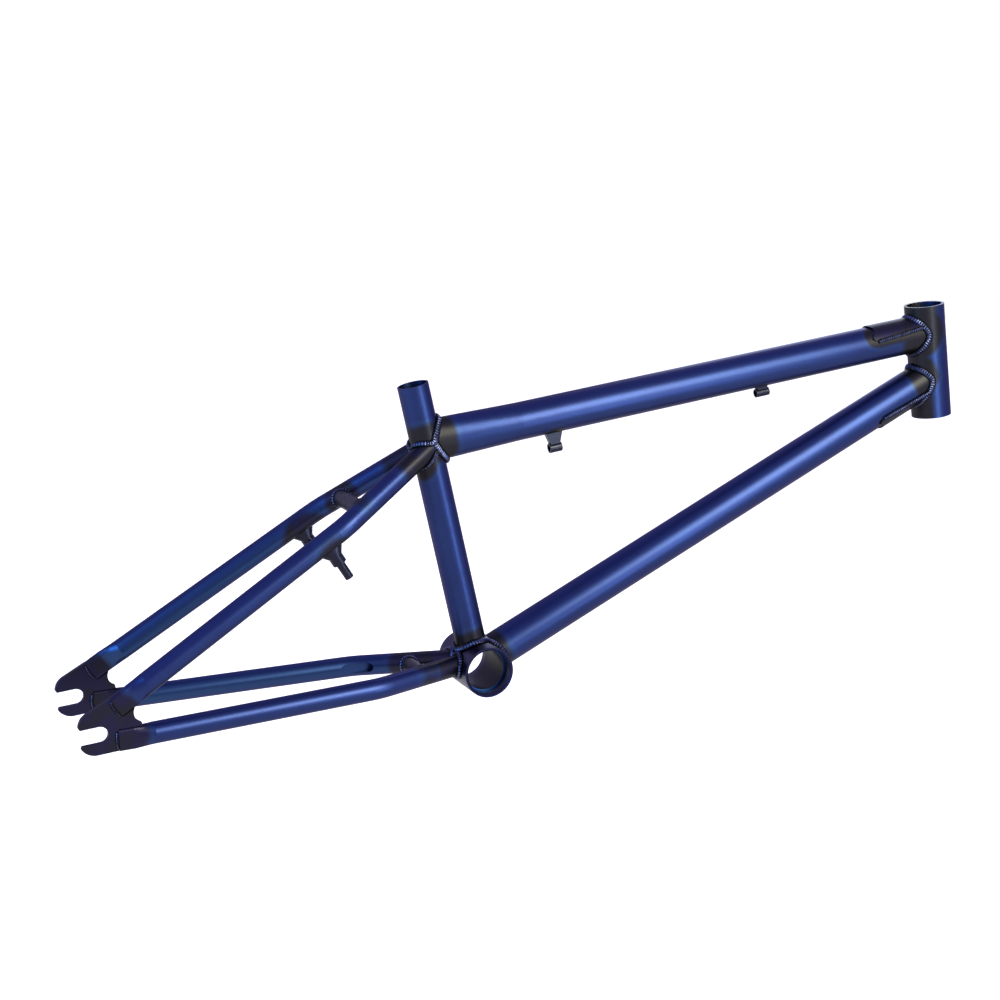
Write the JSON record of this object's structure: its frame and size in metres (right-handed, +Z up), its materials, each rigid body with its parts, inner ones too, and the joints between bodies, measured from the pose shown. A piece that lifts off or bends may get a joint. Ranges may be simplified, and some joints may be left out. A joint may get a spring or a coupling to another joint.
{
  "type": "bicycle frame",
  "caption": "Welded steel bicycle frame for 20 inch wheels, with bent stays, slotted rear dropouts, cantilever brake studs, curved gussets and a press-fit bottom bracket shell.",
  "frame": {"origin": "middle of the bottom bracket shell, on the crank axis", "axes": "+X forward to the head tube, +Y to the bicycle's left, +Z up with the bicycle level"},
  "size_m": [0.864, 0.1294, 0.444],
  "materials": {
    "blue_steel": "satin translucent blue over raw steel, scorched dark beside the welds",
    "weld_beads": "rippled weld metal under the same satin blue, dark",
    "fittings": "satin blue over scorched steel, nearly black"
  },
  "bodies": {
    "root": {"bottom_bracket_shell": "blue_steel", "brake_boss_left": "fittings", "brake_boss_right": "fittings", "brake_stud_left": "fittings", "brake_stud_right": "fittings", "chain_stay_bridge": "blue_steel", "chain_stay_left": "blue_steel", "chain_stay_right": "blue_steel", "down_tube": "blue_steel", "down_tube_gusset": "blue_steel", "dropout_left": "blue_steel", "dropout_right": "blue_steel", "front_cable_guide": "fittings", "head_tube": "blue_steel", "rear_cable_stop": "fittings", "seat_stay_bridge": "blue_steel", "seat_stay_left": "blue_steel", "seat_stay_right": "blue_steel", "seat_tube": "blue_steel", "top_tube": "blue_steel", "top_tube_gusset": "blue_steel", "weld_chain_stay_bridge": "weld_beads", "weld_down_tube_gusset": "weld_beads", "weld_dropout_left": "weld_beads", "weld_dropout_right": "weld_beads", "weld_head_down_tube": "weld_beads", "weld_head_top_tube": "weld_beads", "weld_seat_stay_bridge": "weld_beads", "weld_seat_stays": "weld_beads", "weld_seat_top_tube": "weld_beads", "weld_shell_chain_stays": "weld_beads", "weld_shell_down_tube": "weld_beads", "weld_shell_seat_tube": "weld_beads", "weld_top_tube_gusset": "weld_beads"}
  },
  "joints": []
}
